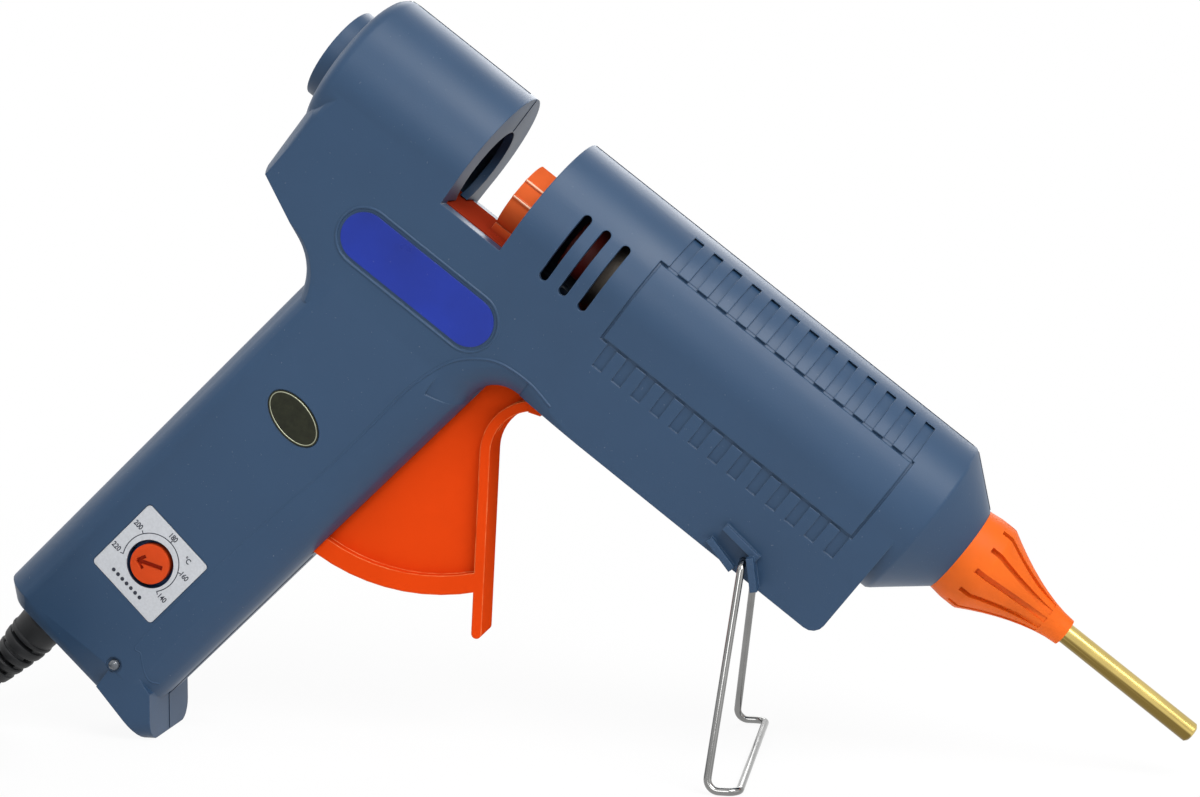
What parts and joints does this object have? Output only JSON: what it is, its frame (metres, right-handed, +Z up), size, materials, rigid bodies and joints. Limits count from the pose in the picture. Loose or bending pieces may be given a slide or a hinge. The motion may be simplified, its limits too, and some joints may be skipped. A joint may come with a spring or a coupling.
{
  "type": "hot glue applicator",
  "caption": "Hand-held hot glue applicator: moulded pistol housing with a feed slot, pivoting trigger, sliding stick feed, heat dial, brass nozzle and folding wire stand.",
  "frame": {"origin": "middle of the underside of the standing applicator, cord and plug left out", "axes": "+X towards the nozzle, +Y to the applicator's left side, +Z up; it stands on its heel and wire stand"},
  "size_m": [0.4387, 0.1369, 0.2153],
  "materials": {
    "slate_plastic": "fine matt grain",
    "orange_plastic": "satin",
    "orange_rubber": "matt silicone",
    "red_rubber": "matt silicone",
    "steel": "bright drawn wire",
    "dark_steel": "zinc plated",
    "brass": "drawn",
    "alloy": "as cast",
    "ceramic": "unglazed ceramic",
    "fibre": "pressed insulating board",
    "white_plate": "printed film",
    "blue_plate": "printed film",
    "olive_plate": "lacquered foil",
    "clear_lens": "cloudy clear",
    "board": "coated laminate",
    "blue_part": "moulded",
    "black_rubber": "matt",
    "cream_plastic": "moulded"
  },
  "bodies": {
    "housing": {"housing_right": "slate_plastic", "housing_left": "slate_plastic", "trigger_pin": "dark_steel", "return_spring": "dark_steel", "stick_sleeve": "red_rubber", "melt_chamber": "alloy", "heating_element": "ceramic", "rear_bush": "fibre", "front_bush": "fibre", "nozzle": "brass", "nozzle_cover": "orange_rubber", "dial_plate": "white_plate", "potentiometer": "blue_part", "circuit_board": "board", "lamp_lens": "clear_lens", "rating_plate": "blue_plate", "oval_badge": "olive_plate", "housing_screws": "dark_steel", "cord_clamp": "cream_plastic", "strain_relief": "black_rubber", "power_cord": "black_rubber", "cord_coil": "black_rubber", "cord_tie": "black_rubber", "plug_body": "black_rubber", "plug_pins": "brass"},
    "trigger": {"trigger": "orange_plastic"},
    "carriage": {"feed_carriage": "orange_plastic", "drive_pin": "dark_steel", "stick_grip": "dark_steel"},
    "stand": {"stand": "steel"},
    "knob": {"dial_knob": "orange_plastic"}
  },
  "joints": [
    {"name": "trigger_pull", "type": "hinge", "parent": "housing", "child": "trigger", "pos_m": [-0.04381, 0, 0.1078], "axis": [0, 1, 0], "range_deg": [0, 26], "stiffness_Nm_per_rad": 0.4, "springref_deg": -20.05},
    {"name": "stick_feed", "type": "slide", "parent": "housing", "child": "carriage", "axis": [0.7923, 0, -0.6101], "range_m": [0, 0.01648]},
    {"name": "stand_fold", "type": "hinge", "parent": "housing", "child": "stand", "pos_m": [0.0471, 0, 0.06064], "axis": [0, 1, 0], "range_deg": [0, 120]},
    {"name": "dial_turn", "type": "hinge", "parent": "housing", "child": "knob", "pos_m": [-0.12605, -0.01674, 0.05312], "axis": [-0.0101, -0.9999, -0.0131], "range_deg": [-130, 130]}
  ],
  "couplings": [
    {"joint": "stick_feed", "follows": "trigger_pull", "m_per_rad": 0.036325}
  ]
}
